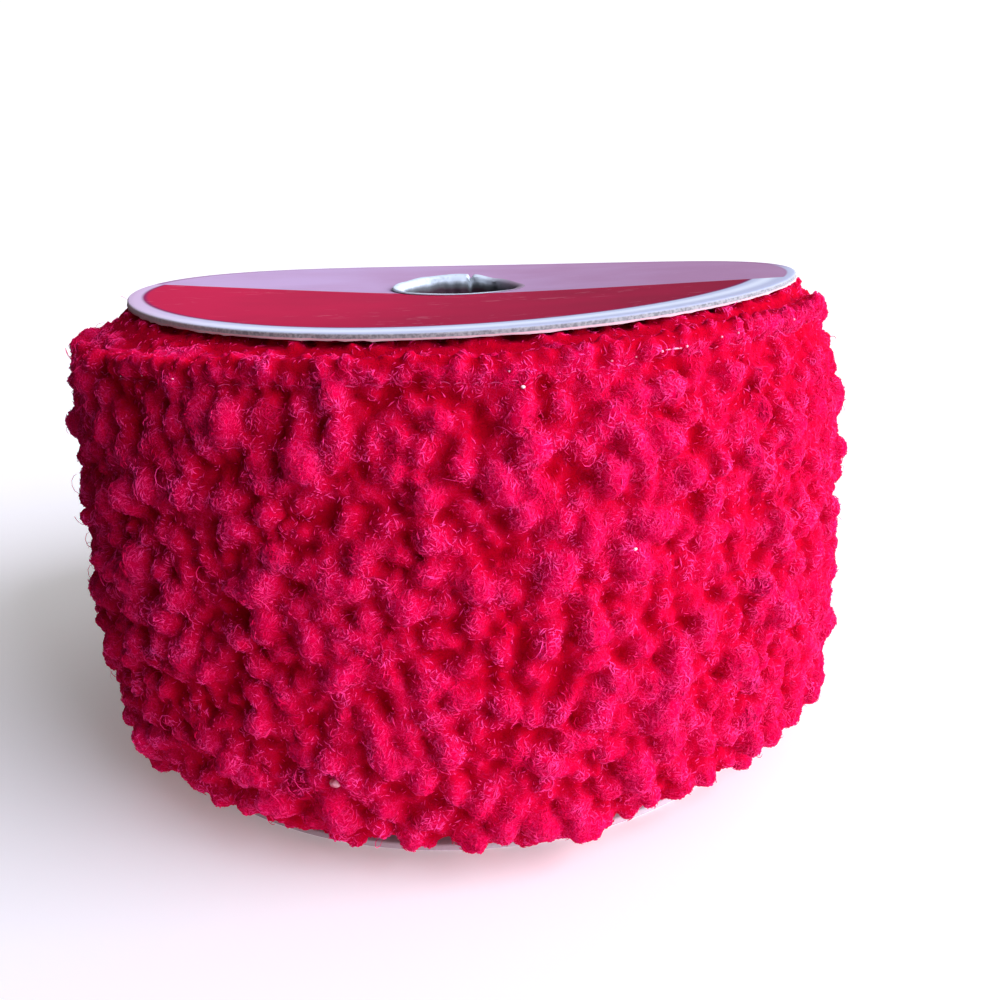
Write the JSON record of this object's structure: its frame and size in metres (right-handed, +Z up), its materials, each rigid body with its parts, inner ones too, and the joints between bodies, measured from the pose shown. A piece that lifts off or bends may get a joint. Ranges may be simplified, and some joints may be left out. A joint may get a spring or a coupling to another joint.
{
  "type": "sherpa wired ribbon on a card spool",
  "caption": "Red sherpa wired ribbon with a nubby pile, wound on a card spool with a warped two-tone top disc.",
  "frame": {"origin": "on the axis of the core, in the plane that the bottom disc stands on", "axes": "+Z up along the core; -Y towards the front, the side that the picture looks at; +X to its right"},
  "size_m": [0.1201, 0.1212, 0.0702],
  "materials": {
    "sherpa_red": "matte looped pile",
    "printed_card": "satin printed card",
    "plain_card": "matt card",
    "core_paper": "matt paper"
  },
  "bodies": {
    "root": {"ribbon_roll": "sherpa_red", "flange_top": "printed_card", "flange_bottom": "plain_card", "core_tube": "core_paper"}
  },
  "joints": []
}
